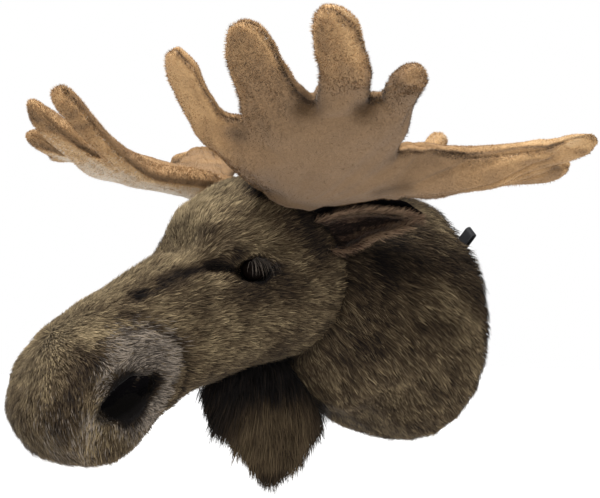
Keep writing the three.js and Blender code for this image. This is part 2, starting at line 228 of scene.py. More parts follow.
def near_line(points, line, radius):
    """1 on a line through the given places, or at a single one, falling off as near_to does."""
    nearest = np.full(len(points), 1e9)
    for start, end in zip(line, line[1:] or line):
        start, end = np.array(start), np.array(end)
        way = end - start
        part = np.clip((points - start) @ way / max(way @ way, 1e-12), 0, 1)
        nearest = np.minimum(nearest, np.linalg.norm(points - start - part[:, None] * way, axis=1))
    return np.exp(-((nearest / radius) ** 2))


def beside(points, line, radius):
    """near_line for a marking on the side of the head, which follows the dents in it."""
    flatten = np.array([0.3, 1, 1])
    return near_line(points * flatten, [np.array(place) * flatten for place in line], radius)


def marks(points, rows, near=near_line):
    """Adds up soft spots and streaks, each given by its share, and by its radius and line in millimetres."""
    total = np.zeros(len(points))
    for share, radius, *line in rows:
        total += share * near(points, [np.array(place) / 1000 for place in line], radius / 1000)
    return total


def unit(vectors):
    return vectors / np.maximum(np.linalg.norm(vectors, axis=1), 1e-9)[:, None]


def pick_only(piece):
    """Selects one piece and makes it the active one."""
    bpy.ops.object.select_all(action="DESELECT")
    piece.select_set(True)
    bpy.context.view_layer.objects.active = piece


def finish_with(piece, kind, **settings):
    """Adds a modifier to the piece and applies it."""
    pick_only(piece)
    modifier = piece.modifiers.new(kind.title(), kind)
    for key, value in settings.items():
        setattr(modifier, key, value)
    bpy.ops.object.modifier_apply(modifier=modifier.name)


def cut_like(node, name, voxel, rounds):
    """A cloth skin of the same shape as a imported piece, evenly meshed and smoothed."""
    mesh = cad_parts[node].data.copy()
    mesh.name = name
    mesh.materials.clear()
    piece = bpy.data.objects.new(name, mesh)
    scene.collection.objects.link(piece)
    joined = bmesh.new()
    joined.from_mesh(mesh)
    bmesh.ops.remove_doubles(joined, verts=joined.verts, dist=1e-6)
    joined.to_mesh(mesh)
    joined.free()
    finish_with(piece, "REMESH", mode="VOXEL", voxel_size=voxel)
    finish_with(piece, "SMOOTH", factor=0.5, iterations=rounds)
    bpy.ops.object.shade_smooth()
    return piece


def points_of(piece):
    points = np.empty(len(piece.data.vertices) * 3)
    piece.data.vertices.foreach_get("co", points)
    return points.reshape(-1, 3)


def normals_of(piece):
    normals = np.empty(len(piece.data.vertices) * 3)
    piece.data.vertex_normals.foreach_get("vector", normals)
    return normals.reshape(-1, 3)


def move_points(piece, points):
    piece.data.vertices.foreach_set("co", points.ravel())
    piece.data.update()


def stuff(piece, pressure, most):
    """Blows the cloth up from inside, as stuffing does, with no place moving further than most."""
    before = points_of(piece)
    cloth = piece.modifiers.new("Stuffing", "CLOTH")
    cloth.settings.use_pressure = True
    cloth.settings.uniform_pressure_force = pressure
    cloth.settings.effector_weights.gravity = 0
    cloth.point_cache.frame_start = 1
    cloth.point_cache.frame_end = STUFFING_STEPS
    for step in range(1, STUFFING_STEPS + 1):
        scene.frame_set(step)
    blown = piece.evaluated_get(bpy.context.evaluated_depsgraph_get())
    after = points_of(blown)
    piece.modifiers.remove(cloth)
    scene.frame_set(1)
    moved = after - before
    far = np.linalg.norm(moved, axis=1)
    move_points(piece, before + moved * np.minimum(1, most / np.maximum(far, 1e-9))[:, None])


def set_tone(piece, tone):
    """Keeps the shade of each place on the cloth for its material."""
    layer = piece.data.attributes.new("tone", "FLOAT", "POINT")
    layer.data.foreach_set("value", tone.astype(np.float32))


def scatter(cloth, count, chance, share):
    """Random places on a cloth and the way out of it there.

    share says how much of the pile each triangle gets, from its first corner, middle and normal."""
    mesh = cloth.data
    mesh.calc_loop_triangles()
    corners = np.empty(len(mesh.loop_triangles) * 3, dtype=np.int64)
    mesh.loop_triangles.foreach_get("vertices", corners)
    corners = corners.reshape(-1, 3)
    points, normals = points_of(cloth), normals_of(cloth)
    a, b, c = (points[corners[:, k]] for k in range(3))
    cross = np.cross(b - a, c - a)
    area = np.linalg.norm(cross, axis=1) * share(a, (a + b + c) / 3, unit(cross))
    picked = chance.choice(len(corners), size=count, p=area / area.sum())
    s, t = chance.random((2, count))
    over = s + t > 1
    s[over], t[over] = 1 - s[over], 1 - t[over]
    weights = np.stack([1 - s - t, s, t], axis=1)[:, :, None]
    roots = (points[corners[picked]] * weights).sum(axis=1)
    return roots, unit((normals[corners[picked]] * weights).sum(axis=1))


def everywhere(middles, normals):
    """The keep of a cloth that bears pile all over."""
    return np.ones(len(middles))


def grow_pile(name, cloth, count, seed, length, width, comb, lean, tone, spread, keep=everywhere, bend=None):
    """Strands of pile on a cloth, as one mesh of tapered blades.

    comb gives the way the pile is stroked, lean how far it stands up at root and tip, and
    tone its shade; each takes the places and normals of the roots."""
    chance = np.random.default_rng(seed)
    roots, up = scatter(cloth, count, chance, lambda first, middles, facing: keep(middles, facing))
    way = comb(roots, up)
    way = unit(way - (way * up).sum(axis=1)[:, None] * up)
    side = np.cross(up, way)
    turn = (soft_noise(roots, 0.016, seed) - 0.5) * 0.45 + chance.normal(0, 0.11, count)
    turned = way * np.cos(turn)[:, None] + side * np.sin(turn)[:, None]
    side = np.cross(up, turned)
    rise = np.radians(lean[0]) + chance.normal(0, 0.14, count)
    fall = np.radians(lean[1]) + chance.normal(0, 0.12, count)
    first = turned * np.cos(rise)[:, None] + up * np.sin(rise)[:, None]
    last = turned * np.cos(fall)[:, None] + up * np.sin(fall)[:, None]
    long = length(roots) * (0.8 + 0.4 * soft_noise(roots, 0.006, seed + 1)) * chance.uniform(0.7, 1.25, count)
    if bend is not None:
        last = unit(last + bend(roots, up))
    half = (width / 2 * chance.uniform(0.7, 1.25, count))[:, None] * side
    middle = roots + first * (long * 0.5)[:, None]
    tip = middle + last * (long * 0.5)[:, None]
    for places in (middle, tip):
        places[:, 1] = np.minimum(places[:, 1], 5 * WALL_GAP)
    roots = roots - up * 0.0006
    lock = soft_noise(roots, 0.0035, seed + 2) + soft_noise(roots, 0.012, seed + 3) - 1
    shade = tone(roots, up) + lock * spread * 0.6 + chance.normal(0, spread * 0.42, count)
    grey = tone(roots, up) > 0.745
    shade = np.where(grey, np.clip(shade, 0.78, 0.955), np.clip(shade, 0.01, 0.7))
    return blades_of(name, [roots, middle, tip], [half, half * 0.75], shade)


def blades_of(name, places, halves, shade):
    """One mesh of blades that run through the places and end in a point."""
    count, steps = len(places[0]), len(halves)
    rows = []
    for place, half in zip(places, halves):
        rows += [place - half, place + half]
    rows.append(places[-1])
    points = np.stack(rows, axis=1)
    size = points.shape[1]
    faces = [(2 * k, 2 * k + 1, 2 * k + 3, 2 * k + 2) for k in range(steps - 1)]
    faces.append((2 * steps - 2, 2 * steps - 1, 2 * steps))
    loops = np.array([corner for face in faces for corner in face])
    starts = np.cumsum([0] + [len(face) for face in faces[:-1]])
    offsets = np.arange(count)[:, None]
    mesh = bpy.data.meshes.new(name)
    mesh.vertices.add(count * size)
    mesh.vertices.foreach_set("co", points.ravel())
    mesh.loops.add(count * len(loops))
    mesh.loops.foreach_set("vertex_index", (loops + offsets * size).ravel())
    mesh.polygons.add(count * len(faces))
    mesh.polygons.foreach_set("loop_start", (starts + offsets * len(loops)).ravel())
    mesh.update(calc_edges=True)
    shade = np.clip(shade, 0.01, 0.99)[:, None]
    across = shade + np.where(loops == size - 1, 0, np.where(loops % 2, 0.004, -0.004))
    along = np.broadcast_to(loops // 2 / steps, (count, len(loops)))
    layer = mesh.uv_layers.new(name="OFBake")
    layer.uv.foreach_set("vector", np.stack([across, along * 0.96 + 0.02], axis=2).ravel())
    piece = bpy.data.objects.new(name, mesh)
    scene.collection.objects.link(piece)
    pick_only(piece)
    bpy.ops.object.shade_smooth()
    return piece


def shade_group(name, shades, root):
    """The colours of one kind of pile: Tone picks the shade, and Rise goes from root to tip."""
    group = bpy.data.node_groups.new(name, "ShaderNodeTree")
    group.interface.new_socket("Tone", in_out="INPUT", socket_type="NodeSocketFloat")
    group.interface.new_socket("Rise", in_out="INPUT", socket_type="NodeSocketFloat")
    group.interface.new_socket("Colour", in_out="OUTPUT", socket_type="NodeSocketColor")
    came, goes = group.nodes.new("NodeGroupInput"), group.nodes.new("NodeGroupOutput")
    mix = group.nodes.new("ShaderNodeMix")
    mix.data_type = "RGBA"
    mix.blend_type = "MULTIPLY"
    mix.inputs["Factor"].default_value = 1.0
    depth = [(0.0, (root,) * 3), (0.45, (0.3 + 0.7 * root,) * 3), (1.0, (1.0, 1.0, 1.0))]
    add_ramp(group, came.outputs["Tone"], shades, mix.inputs["A"])
    add_ramp(group, came.outputs["Rise"], depth, mix.inputs["B"])
    group.links.new(mix.outputs["Result"], goes.inputs["Colour"])
    return group


def pile_material(name, group, sheen):
    """Strands: the shade and the height come from the strand's own map."""
    material, tree, shader = new_material(name, 0.85, 0.12)
    shader.inputs["Sheen Weight"].default_value = sheen
    shader.inputs["Sheen Roughness"].default_value = 0.4
    place = tree.nodes.new("ShaderNodeUVMap")
    place.uv_map = "OFBake"
    parts = tree.nodes.new("ShaderNodeSeparateXYZ")
    tone_colour = tree.nodes.new("ShaderNodeGroup")
    tone_colour.node_tree = group
    tree.links.new(place.outputs["UV"], parts.inputs["Vector"])
    tree.links.new(parts.outputs["X"], tone_colour.inputs["Tone"])
    tree.links.new(parts.outputs["Y"], tone_colour.inputs["Rise"])
    tree.links.new(tone_colour.outputs["Colour"], shader.inputs["Base Color"])
    return material


def cloth_material(name, group, rise, fibre, sheen):
    """The cloth between the strands: the shade kept in the piece, broken up by fine fibres."""
    material, tree, shader = new_material(name, 0.95, 0.1)
    shader.inputs["Sheen Weight"].default_value = sheen
    shader.inputs["Sheen Roughness"].default_value = 0.5
    kept = tree.nodes.new("ShaderNodeAttribute")
    kept.attribute_name = "tone"
    fibres = add_noise(tree, fibre, 4)
    height = tree.nodes.new("ShaderNodeMapRange")
    height.inputs["From Min"].default_value = 0.3
    height.inputs["From Max"].default_value = 0.7
    height.inputs["To Min"].default_value = rise[0]
    height.inputs["To Max"].default_value = rise[1]
    tone_colour = tree.nodes.new("ShaderNodeGroup")
    tone_colour.node_tree = group
    tree.links.new(fibres, height.inputs["Value"])
    tree.links.new(kept.outputs["Fac"], tone_colour.inputs["Tone"])
    tree.links.new(height.outputs["Result"], tone_colour.inputs["Rise"])
    tree.links.new(tone_colour.outputs["Colour"], shader.inputs["Base Color"])
    add_bump(tree, shader, fibres, 0.6, 0.0015)
    return material


def flip_of(points):
    """-1 in x for each place on the right side, else 1."""
    return np.where(points[:, :1] < 0, -1.0, 1.0) ** np.array([1, 0, 0])


def both_sides(points):
    """The same place on the left side of the head."""
    return points * flip_of(points)


def neck_tone(points, normals):
    """Nearly black at the top, darker under the ears with painted shade, olive below, with worn lighter
    flecks.
    """
    tone = 0.275 + 0.14 * (soft_noise(points, 0.045, 5) - 0.5) + 0.08 * (soft_noise(points, 0.016, 6) - 0.5)
    tone += 0.07 * smooth_step(0.02, -0.06, points[:, 2])
    tone += marks(points, NECK_MARKS)
    tone += 0.14 * smooth_step(0.74, 0.9, soft_noise(points, 0.011, 9))
    curls = soft_noise(points, 0.008, 10)
    tone += (0.3 * smooth_step(0.55, 0.8, curls) - 0.22) * smooth_step(-0.024, -0.012, points[:, 1])
    return tone


def neck_length(points):
    return NECK_PILE_LENGTH * (1 - 0.6 * near_line(both_sides(points), UNDER_THROAT, 0.03))


def neck_comb(points, normals):
    """Back and down, and fanning out round the throat."""
    way = points * (0.6, 0, 0.6)
    return unit(way) * 0.2 + np.array([0, 0.6, -0.6])


def tree_of(node):
    """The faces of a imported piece, for finding the nearest one."""
    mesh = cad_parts[node].data
    return BVHTree.FromPolygons([v.co for v in mesh.vertices], [p.vertices for p in mesh.polygons])


def away_from(points, node):
    """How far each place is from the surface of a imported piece."""
    tree = tree_of(node)
    return np.array([tree.find_nearest(Vector(place))[3] for place in points])


hide = shade_group("hide_shades", HIDE_SHADES, 0.28)
hide_pile = pile_material("hide_pile", hide, 0.06)
hide_cloth = cloth_material("hide_cloth", hide, (0.0, 0.35), 700, 0.02)

neck = cut_like("neck", "neck_cloth", 0.004, 6)
points, normals = points_of(neck), normals_of(neck)
seat = smooth_step(-0.004, -0.014, points[:, 1])
joint = np.exp(-((away_from(points, "head") / 0.016) ** 2))
p = both_sides(points)
throat = near_line(p, UNDER_THROAT, 0.028)
crown = near_line(p, [(0, -0.03, 0.156), (0.05, -0.025, 0.156), (0.07, -0.02, 0.148)], 0.028)
full = near_line(p, [(0.075, -0.02, -0.13), (0.12, -0.02, -0.1), (0.145, -0.02, -0.05)], 0.04)
seat *= 1 - 0.9 * full
slack = near_line(points, [(0.08, -0.012, 0.138), (0.116, -0.012, 0.11)], 0.024)
inwards = (0.004 * seat - 0.0008) * (1 - 0.8 * joint) + 0.004 * (throat + slack) - 0.009 * crown
points -= normals * inwards[:, None]
move_points(neck, points)
stuff(neck, 4, 0.003)
points, normals = points_of(neck), normals_of(neck)
points[:, 2] += 0.014 * near_line(both_sides(points), UNDER_THROAT, 0.035)
points[:, 2] += 0.009 * near_line(both_sides(points), BELOW_THROAT, 0.03)
points[:, 1] = np.minimum(points[:, 1], WALL_GAP)
move_points(neck, points)
set_tone(neck, neck_tone(points, normals))
neck.data.materials.append(hide_cloth)
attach(neck, "root")
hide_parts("neck")


def in_open_air(*nodes):
    """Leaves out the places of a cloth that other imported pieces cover."""
    trees = [tree_of(node) for node in nodes]

    def keep(middles, normals):
        shown = np.ones(len(middles))
        for k, (middle, normal) in enumerate(zip(middles, normals)):
            place = Vector(middle) + Vector(normal) * 0.005
            for tree in trees:
                found, facing, _, away = tree.find_nearest(place, 0.06)
                if found is not None and (place - found).dot(facing) < 0:
                    shown[k] = 0
                    break
        return shown

    return keep


neck_shown = in_open_air("head", "back_board")


def neck_keep(middles, normals):
    """None on the rear face, which lies on the wall, inside the mouth of the tube or over a strap."""
    strap = near_line(both_sides(middles), [(0.08, -0.006, 0.075), (0.14, -0.006, 0.13)], 0.011) > 0.35
    return neck_shown(middles, normals) * (middles[:, 1] < -0.0035) * ~strap


neck_pile = grow_pile(
    "neck_pile", neck, NECK_STRANDS, 11, neck_length, 0.0011, neck_comb, (27, 4), neck_tone, 0.26, neck_keep
)
neck_pile.data.materials.append(hide_pile)
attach(neck_pile, "root")
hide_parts("neck")

# ---------------------------------------------------------------------------
# The head: olive brown fur cloth in shaped panels, stuffed firm, with greyer
# side panels round the nostrils. Creases run from the eyes to the muzzle, darkened
# with painted shade.
HEAD_PILE_LENGTH = 0.0125
HEAD_STRANDS = 62000
MUZZLE_STRANDS = 56000
NOSE = np.array([0.0, -0.548, 0.004])
CREASE = [
    (0.074, -0.338, 0.08), (0.066, -0.352, 0.07), (0.056, -0.38, 0.056), (0.0455, -0.412, 0.044),
    (0.042, -0.45, 0.026),
]
MUZZLE_SEAM = [
    (0.053, -0.508, -0.02), (0.057, -0.485, -0.012), (0.058, -0.445, -0.004), (0.061, -0.412, -0.02),
    (0.057, -0.396, -0.052), (0.045, -0.4, -0.085), (0.03, -0.4, -0.095),
]
NOSTRIL_AT = np.array([0.072, -0.476, -0.079])
NOSTRIL_CORNER = [(0.06, -0.4415, -0.061), (0.06, -0.447, -0.069)]
EYE_AT = np.array([0.075, -0.313, 0.061])
EYE_CORNER = [(0.077, -0.326, 0.06), (0.064, -0.366, 0.061)]
# Shades over the top and the underside, with a painted highlight on the forehead and the bridge and
# painted shadow round the roots of the antler and the ear; shades on the sides, with painted shade in
# the pit of the crease, the eye's back corner and under the muzzle's fold; and swells and dents in mm.
HEAD_PATCHES = [
    # Painted highlight on the forehead and down the bridge, where the light from above falls.
    (0.19, 55, (25, -350, 135)),
    (0.1, 35, (15, -410, 70), (20, -520, 0), (20, -565, -50)),
    (-0.3, 11, (46, -360, 102)),
    # Dark fur in the hollow before the antler's root, with painted shadow there.
    (-0.42, 9, (31, -293, 166), (46, -298, 155), (58, -292, 146)),
    # These three rows: painted shadow under the antler's root and round the root of the ear.
    (-0.38, 16, (65, -265, 148), (82, -238, 127), (77, -210, 117)),
    (-0.13, 26, (80, -280, 105), (92, -234, 100)),
    (-0.18, 18, (84, -262, 120), (93, -252, 96), (98, -240, 75)),
    (0.14, 20, (66, -520, -100)),
    (-0.1, 25, (70, -250, -20), (30, -300, -60), (20, -360, -80)),
]
HEAD_MARKS = [
    (-0.19, 18, (77, -338, 34), (92, -285, 40)),
    (0.08, 9, (55, -375, 48), (68, -355, 42)),
    # Painted shade in the pit at the end of the crease.
    (-0.45, 5, (41, -447, 30), (42, -456, 24)),
    (-0.25, 4, (50, -473, 8), (52, -452, 7)),
    # Painted shade in the back corner of the eye.
    (-0.3, 9, (85, -310, 60), (90, -297, 62)),
    (0.03, 8, (76, -330, 86), (85, -300, 84)),
    (0.24, 7, (54, -516, -16), (56, -490, -12)),
    # Darker down the front of the muzzle, with painted shade under the golden fold at its top.
    (-0.17, 12, (59, -511, -34), (66, -534, -60), (62, -547, -100)),
]
HEAD_SWELLS = [
    (3.5, 22, (40, -465, -135), (30, -445, -125)),
    (5, 26, (0, -366, 140), (30, -360, 138)),
    (-15, 18, (0, -388, 94), (25, -385, 92)),
    (-6, 14, (0, -377, 107), (30, -373, 105)),
    (-5, 6, (42, -450, 26)),
    (7.5, 8, (70, -350, 80), (82, -325, 80), (92, -290, 74)),
]


def from_nostril(p, across):
    """How far each place is from the nostril, with the way across the head counted less."""
    return np.linalg.norm((p - NOSTRIL_AT) * (across, 1, 1), axis=1)


def head_tone(points, normals):
    """Pale on the brow, with a painted highlight on the forehead and the bridge; painted shade round the
    eyes, in the folds, in the nostrils and round the roots of the antler and the ear.
    """
    p = both_sides(points)
    tone = 0.405 + 0.13 * (soft_noise(points, 0.03, 21) - 0.5)
    tone += marks(p, HEAD_PATCHES) + marks(p, HEAD_MARKS, beside)
    # Painted shade in the crease, in the front corner of the eye and in the socket round it; between them the
    # muzzle seam is drawn as a dark line.
    tone -= 0.46 * beside(p, CREASE, 0.0068) * (0.2 + 1.2 * soft_noise(points, 0.009, 22))
    tone -= 0.5 * beside(p, EYE_CORNER, 0.0085)
    tone -= 0.26 * beside(p, MUZZLE_SEAM, 0.0035)
    away = np.linalg.norm(p - EYE_AT, axis=1)
    tone -= 0.4 * (1 - smooth_step(0.0155, 0.022, away))
    # Painted shade in and round the nostrils, darkest in their upper corner.
    tone -= 0.2 * (1 - smooth_step(0.026, 0.034, from_nostril(p, 0.5)))
    tone -= 0.6 * beside(p, NOSTRIL_CORNER, 0.0095)
    tone -= 0.4 * (1 - smooth_step(0.019, 0.028, from_nostril(p, 0.35)))
    return np.clip(tone, 0.02, 0.7)


def muzzle_tone(points, normals):
    """Grey hairs mixed into the panels round the nostrils."""
    tone = head_tone(points, normals)
    p = both_sides(points)
    panel = smooth_step(0.08, 0.042, np.linalg.norm(p - (0.06, -0.455, -0.06), axis=1))
    grey = 0.8 * panel * smooth_step(0.015, 0.04, p[:, 0])
    grey = np.maximum(grey, 0.5 * near_to(p, (0.04, -0.53, -0.11), 0.045))
    grey = np.maximum(grey, 0.7 * near_to(p, (0.066, -0.52, -0.1), 0.02))
    pick = soft_noise(points * 1e4, 0.9, 31)
    chosen = pick < grey * 0.95 * smooth_step(0.08, 0.25, tone)
    return np.where(chosen, np.clip(0.885 + (tone - 0.42) * 0.6, 0.78, 0.98), tone)


def head_comb(points, normals):
    """Stroked back from the nose, and away from the nostrils and the eyes."""
    p = both_sides(points)
    way = unit(p - NOSE)
    way += unit(p - NOSTRIL_AT) * (1.5 * near_to(p, NOSTRIL_AT, 0.05))[:, None]
    way += np.array([0, 0.5, 0.25]) * smooth_step(-0.48, -0.36, p[:, 1])[:, None]
    way += np.array([0, 0.3, -0.6]) * (0.6 * near_to(p, (0.08, -0.27, 0.02), 0.05))[:, None]
    way += np.array([0, 0.1, -1.8]) * beside(p, [(0.072, -0.345, 0.078), (0.085, -0.3, 0.08)], 0.01)[:, None]
    return way * flip_of(points)


def head_length(points):
    """Clipped short round the eyes and the nostrils."""
    p = both_sides(points)
    eye = np.linalg.norm(p - EYE_AT, axis=1)
    short = 0.25 + 0.75 * smooth_step(0.02, 0.034, eye)
    short *= 0.6 + 0.4 * smooth_step(0.03, 0.055, from_nostril(p, 0.6))
    short *= 1 - 0.25 * smooth_step(-0.4, -0.5, p[:, 1]) * smooth_step(-0.12, -0.09, p[:, 2])
    short *= 1 - 0.7 * np.maximum(beside(p, EYE_CORNER, 0.009), beside(p, NOSTRIL_CORNER, 0.008))
    short *= 1 - 0.4 * near_line(p, [(0, -0.375, 0.11), (0.03, -0.372, 0.107)], 0.025)
    short += 0.25 * smooth_step(-0.115, -0.14, p[:, 2]) * smooth_step(-0.42, -0.46, p[:, 1])
    return HEAD_PILE_LENGTH * short


head = cut_like("head", "head_cloth", 0.0035, 5)
points, normals = points_of(head), normals_of(head)
p = both_sides(points)
hollow = np.exp(-((from_nostril(p, 0.6) / 0.045) ** 4))
joint = np.exp(-((away_from(points, "neck") / 0.014) ** 2))
nose = 0.5 * smooth_step(-0.53, -0.56, p[:, 1])
points -= normals * (0.003 * (1 - 0.6 * hollow) * (1 - 0.7 * joint) + 0.003 * nose)[:, None]
move_points(head, points)
stuff(head, 4, 0.002)
points, normals = points_of(head), normals_of(head)
p = both_sides(points)
points[:, 2] += 0.0025 * smooth_step(-0.45, -0.55, points[:, 1])
bridge = smooth_step(-0.38, -0.42, p[:, 1]) * smooth_step(-0.56, -0.52, p[:, 1])
bridge *= smooth_step(0.1, 0.5, normals[:, 2])
swell = marks(p, HEAD_SWELLS) / 1000 + 0.0025 * bridge
swell -= 0.011 * beside(p, EYE_CORNER, 0.0085) + 0.008 * beside(p, NOSTRIL_CORNER, 0.0075)
swell -= 0.004 * near_line(p, CREASE, 0.006) + 0.0025 * near_line(p, MUZZLE_SEAM, 0.0045)
points += normals * swell[:, None]
points += normals * ((soft_noise(points, 0.022, 40) - 0.5) * 0.003)[:, None]
move_points(head, points)
set_tone(head, head_tone(points, normals))
head.data.materials.append(hide_cloth)
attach(head, "root")
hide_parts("head")

head_shown = in_open_air("neck", "antler_left", "antler_right")


def muzzle_share(middles):
    """1 in front of the line where the muzzle's panels start, 0 behind it."""
    return middles[:, 1] - middles[:, 2] * 0.3 < -0.395


def head_keep(middles, normals):
    return head_shown(middles, normals) * ~muzzle_share(middles)


def muzzle_keep(middles, normals):
    return muzzle_share(middles) * smooth_step(0.02, 0.03, from_nostril(both_sides(middles), 0.35))


for name, count, seed, keep, tone in (
    ("head_pile", HEAD_STRANDS, 51, head_keep, head_tone),
    ("muzzle_pile", MUZZLE_STRANDS, 52, muzzle_keep, muzzle_tone),
):
    pile = grow_pile(name, head, count, seed, head_length, 0.0009, head_comb, (30, 6), tone, 0.24, keep)
    pile.data.materials.append(hide_pile)
    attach(pile, "root")
    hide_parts("head")

# ---------------------------------------------------------------------------
# The bell: a flap under the throat, cut from very long fur and sewn to the
# head and the neck along its top. Its hairs hang down and end in ragged points.
BELL_STRANDS = 17000
BELL_TOP = -0.034
BELL_MIDDLE = np.array([0, -0.236, 0])


def bell_tone(points, normals):
    """Olive in the middle of each side, nearly black round the edge and at the top."""
    along = (points[:, 1] - BELL_MIDDLE[1]) / 0.09
    down = (points[:, 2] + 0.12) / 0.07
    edge = np.sqrt(along**2 + down**2)
    return 0.35 - 0.26 * smooth_step(0.4, 0.9, edge) - 0.1 * smooth_step(-0.085, -0.06, points[:, 2])


def bell_comb(points, normals):
    """Down, and out to the front and the back."""
    return (points - BELL_MIDDLE) * (2, 8, 0) + np.array([0, 0, -1])


def bell_fall(points, normals):
    return np.broadcast_to(np.array([0, 0, -0.6]), points.shape)


def bell_length(points):
    """Long and uneven, so that the edge is ragged."""
    return 0.025 + 0.015 * smooth_step(0.4, 0.9, soft_noise(points, 0.011, 63))


bell = cut_like("bell", "bell_cloth", 0.004, 4)
points = points_of(bell)
points = (points - (0, BELL_MIDDLE[1], BELL_TOP)) * (0.6, 0.88, 0.89) + (0, BELL_MIDDLE[1], BELL_TOP)
front = smooth_step(-0.25, -0.28, points[:, 1])
points[:, 1] -= 0.005 * front * smooth_step(-0.13, -0.105, points[:, 2])
points[:, 1] += 0.005 * front * smooth_step(-0.122, -0.145, points[:, 2])
move_points(bell, points)
set_tone(bell, bell_tone(points, normals_of(bell)))
bell.data.materials.append(hide_cloth)
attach(bell, "root")
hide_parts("bell")

bell_pile = grow_pile(
    "bell_pile", bell, BELL_STRANDS, 61, bell_length, 0.0014, bell_comb, (30, 8), bell_tone, 0.12,
    bend=bell_fall,
)
bell_pile.data.materials.append(hide_pile)
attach(bell_pile, "root")
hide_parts("bell")

# ---------------------------------------------------------------------------
# The eyes: glossy black toy eyes of moulded plastic, each a domed button with a
# flange and a shank that goes through the cloth.
EYE_RADIUS = 0.0135
EYE_SHADES = [(0.35, (0.0015, 0.001, 0.001)), (0.7, (0.005, 0.003, 0.002))]
EYE_FACING = Vector((0.92, -0.38, 0.06)).normalized()

eye_gloss, tree, shader = new_material("eye_gloss", 0.3, 0.015)
haze = add_noise(tree, 90, 3)
add_ramp(tree, haze, EYE_SHADES, shader.inputs["Base Color"])


def in_edit_mode(piece):
    """Opens a piece in edit mode with nothing selected, and gives its bmesh."""
    pick_only(piece)
    bpy.ops.object.mode_set(mode="EDIT")
    bpy.ops.mesh.select_mode(type="VERT")
    bpy.ops.mesh.select_all(action="DESELECT")
    return bmesh.from_edit_mesh(piece.data)


def mirror_copy(piece, name):
    """The same piece for the right side, with its own mesh and its faces turned back out."""
    mesh = piece.data.copy()
    mesh.name = name
    mesh.transform(Matrix.Diagonal((-1, 1, 1, 1)))
    mesh.flip_normals()
    other = bpy.data.objects.new(name, mesh)
    scene.collection.objects.link(other)
    return other


bpy.ops.object.select_all(action="DESELECT")
bpy.ops.mesh.primitive_uv_sphere_add(segments=40, ring_count=24, radius=EYE_RADIUS)
eye_left = bpy.context.object
eye_left.name = eye_left.data.name = "eye_button_left"
form = in_edit_mode(eye_left)
for vertex in form.verts:
    vertex.select = vertex.co.z < -EYE_RADIUS * 0.3
form.select_flush(True)
bpy.ops.mesh.delete(type="VERT")
form = bmesh.from_edit_mesh(eye_left.data)
for edge in form.edges:
    edge.select = edge.is_boundary
bpy.ops.mesh.extrude_region_move(TRANSFORM_OT_translate={"value": (0, 0, -0.001)})
bpy.ops.transform.resize(value=(0.97, 0.97, 1))
bpy.ops.mesh.extrude_region_move()
bpy.ops.transform.resize(value=(0.24, 0.24, 1))
bpy.ops.mesh.extrude_region_move(TRANSFORM_OT_translate={"value": (0, 0, -0.006)})
bpy.ops.mesh.edge_face_add()
bpy.ops.object.mode_set(mode="OBJECT")
eye_left.rotation_mode = "QUATERNION"
eye_left.rotation_quaternion = Vector((0, 0, 1)).rotation_difference(EYE_FACING)
eye_left.location = Vector(EYE_AT) - EYE_FACING * 0.0015 + Vector((0, -0.003, 0))
bpy.ops.object.transform_apply(location=True, rotation=True, scale=True)
bpy.ops.object.shade_smooth_by_angle(angle=math.radians(50))
eye_right = mirror_copy(eye_left, "eye_button_right")
for piece, node in ((eye_left, "eye_left"), (eye_right, "eye_right")):
    piece.data.materials.clear()
    piece.data.materials.append(eye_gloss)
    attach(piece, "root")
    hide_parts(node)

# The lashes: fine long grey hairs sewn into the upper lid, hanging over the eye.
LASHES = 46
LASH_LENGTH = 0.03

chance = np.random.default_rng(71)
spot = chance.uniform(-0.95, 0.95, LASHES)
facing = np.array(EYE_FACING)
sideways = np.cross([0, 0, 1], facing)
sideways /= np.linalg.norm(sideways)
upwards = np.cross(facing, sideways)
angle = spot[:, None] * 0.95
edge = EYE_AT + (upwards * np.cos(angle) + sideways * np.sin(angle)) * 0.0115 + facing * 0.0125
start = facing * 0.6 + np.array([0, 0.25, -0.15]) + sideways * spot[:, None] * 0.3
start = unit(start + chance.normal(0, 0.16, (LASHES, 3)))
size = LASH_LENGTH * chance.uniform(0.6, 1.1, LASHES)[:, None]
steps = [edge]
way = start
for part in range(4):
    steps.append(steps[-1] + way * size / 4)
    way = unit(way - np.array([0, 0, 1]) * (0.38 + 0.12 * part) - facing * 0.06)
half = unit(np.cross(start, [0, 0, 1])) * 0.00022
shade = chance.uniform(0.77, 0.84, LASHES)
lashes_left = blades_of("lashes_left", steps, [half, half, half * 0.9, half * 0.7], shade)
lashes_right = mirror_copy(lashes_left, "lashes_right")
for piece, node in ((lashes_left, "eye_left"), (lashes_right, "eye_right")):
    piece.data.materials.clear()
    piece.data.materials.append(hide_pile)
    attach(piece, "root")

# ---------------------------------------------------------------------------
# The nostril linings: pockets of black felt sewn into the muzzle panels.
FELT_SHADES = [(0.3, (0.001, 0.001, 0.001)), (0.75, (0.006, 0.005, 0.006))]
NOSTRIL_DEPTH = 0.8

felt, tree, shader = new_material("black_felt", 1.0, 0.02)
lint = add_noise(tree, 900, 5)
add_ramp(tree, lint, FELT_SHADES, shader.inputs["Base Color"])
add_bump(tree, shader, lint, 0.5, 0.0006)

for side in ("left", "right"):
    lining = cut_like("nostril_lining_" + side, "nostril_felt_" + side, 0.0009, 3)
    points = points_of(lining)
    points += normals_of(lining) * ((soft_noise(points, 0.006, 80) - 0.5) * 0.0006)[:, None]
    inner = np.abs(points[:, 0]).min()
    points[:, 0] = np.sign(points[:, 0]) * (inner + (np.abs(points[:, 0]) - inner) * NOSTRIL_DEPTH)
    move_points(lining, points)
    lining.data.materials.append(felt)
    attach(lining, "root")
    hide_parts("nostril_lining_" + side)

